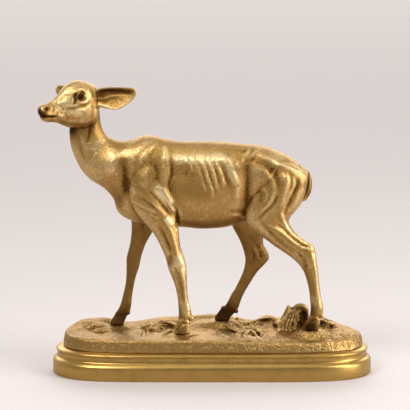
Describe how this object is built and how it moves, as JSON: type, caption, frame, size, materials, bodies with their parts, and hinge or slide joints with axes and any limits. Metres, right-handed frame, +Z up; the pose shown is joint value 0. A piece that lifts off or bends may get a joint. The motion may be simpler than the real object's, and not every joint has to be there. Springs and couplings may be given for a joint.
{
  "type": "deer sculpture",
  "caption": "Gilt bronze doe walking with her head turned, on textured earth with leaves and a stump, over a moulded oval plinth.",
  "frame": {"origin": "centre of the plinth's flat underside, on the surface that it stands on", "axes": "+X from the doe's head to her tail, -Y her left side, +Z up"},
  "size_m": [0.1824, 0.0584, 0.1627],
  "materials": {
    "doe": "gilt bronze, chased, with brown patina in the hollows",
    "ground": "gilt bronze, stippled, with brown patina in the hollows",
    "plinth": "gilt bronze, burnished"
  },
  "bodies": {
    "root": {"doe": "doe", "ground": "ground", "plinth": "plinth"}
  },
  "joints": []
}
